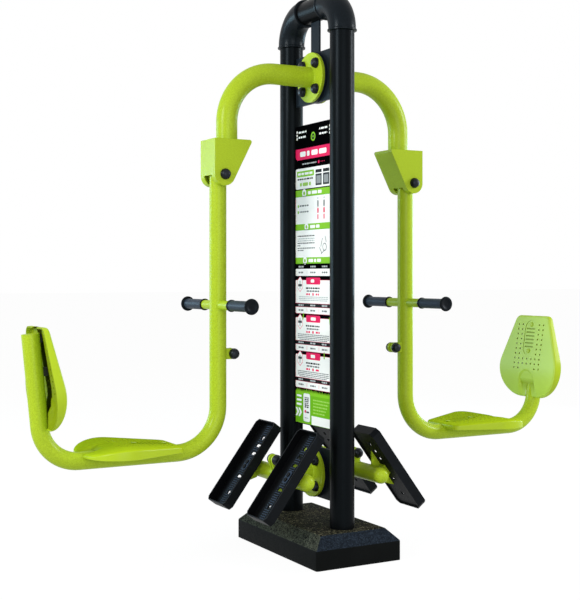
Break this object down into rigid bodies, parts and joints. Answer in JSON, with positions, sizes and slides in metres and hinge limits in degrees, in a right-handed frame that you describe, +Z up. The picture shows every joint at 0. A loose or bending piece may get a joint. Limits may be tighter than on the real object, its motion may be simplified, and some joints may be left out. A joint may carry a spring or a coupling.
{
  "type": "outdoor squat machine",
  "caption": "Outdoor squat machine: two posts on a plinth carry a pair of hinged arms with seats, handlebars and sloping foot trays.",
  "frame": {"origin": "centre of the base on the ground, midway between the posts and between the two units", "axes": "+Z up, X along the two arms from one seat to the other, Y through both posts"},
  "size_m": [2.23, 0.605, 2.0619],
  "materials": {
    "stone_base": "cast, rough",
    "zinc_steel": "zinc plated",
    "black_steel": "satin powder coat",
    "green_steel": "gloss powder coat",
    "green_shell": "moulded, satin",
    "black_cap": "moulded",
    "black_tray": "moulded, textured",
    "grip_rubber": "soft",
    "buffer_rubber": "solid",
    "bronze": "machined",
    "sign_print": "printed and laminated"
  },
  "bodies": {
    "frame": {"base_plinth": "stone_base", "anchor_plate": "zinc_steel", "post_front": "black_steel", "post_rear": "black_steel", "elbow_front": "black_steel", "elbow_rear": "black_steel", "top_crossbar": "black_steel", "top_tie_bar": "black_steel", "upper_bracket": "black_steel", "lower_bracket": "black_steel", "sign_board": "black_steel", "sign_sheet": "sign_print", "frame_bolts": "zinc_steel", "bolt_caps": "black_cap", "pivot_pins": "zinc_steel", "tray_screws": "black_steel", "left_upper_flange": "green_steel", "left_upper_arm": "green_steel", "left_hinge_housing": "green_steel", "left_stop_buffers": "buffer_rubber", "left_lower_flange": "green_steel", "left_foot_frame": "green_steel", "left_tray_front": "black_tray", "left_tray_rear": "black_tray", "left_tray_brackets": "green_steel", "left_foot_lug": "green_steel", "right_upper_flange": "green_steel", "right_upper_arm": "green_steel", "right_hinge_housing": "green_steel", "right_stop_buffers": "buffer_rubber", "right_lower_flange": "green_steel", "right_foot_frame": "green_steel", "right_tray_front": "black_tray", "right_tray_rear": "black_tray", "right_tray_brackets": "green_steel", "right_foot_lug": "green_steel"},
    "left_swing": {"left_seat_arm": "green_steel", "left_pivot_sleeve": "green_steel", "left_pivot_bushes": "bronze", "left_seat": "green_shell", "left_backrest": "green_shell", "left_shell_spacers": "zinc_steel", "left_shell_screws": "green_steel", "left_handlebar": "green_steel", "left_grips": "grip_rubber", "left_arm_lug": "green_steel", "left_lug_bolt": "zinc_steel", "left_lug_caps": "black_cap"},
    "right_swing": {"right_seat_arm": "green_steel", "right_pivot_sleeve": "green_steel", "right_pivot_bushes": "bronze", "right_seat": "green_shell", "right_backrest": "green_shell", "right_shell_spacers": "zinc_steel", "right_shell_screws": "green_steel", "right_handlebar": "green_steel", "right_grips": "grip_rubber", "right_arm_lug": "green_steel", "right_lug_bolt": "zinc_steel", "right_lug_caps": "black_cap"}
  },
  "joints": [
    {"name": "left_seat_swing", "type": "hinge", "parent": "frame", "child": "left_swing", "pos_m": [-0.405, 0, 1.375], "axis": [0, 1, 0], "range_deg": [0, 25]},
    {"name": "right_seat_swing", "type": "hinge", "parent": "frame", "child": "right_swing", "pos_m": [0.405, 0, 1.375], "axis": [0, -1, 0], "range_deg": [0, 25]}
  ]
}
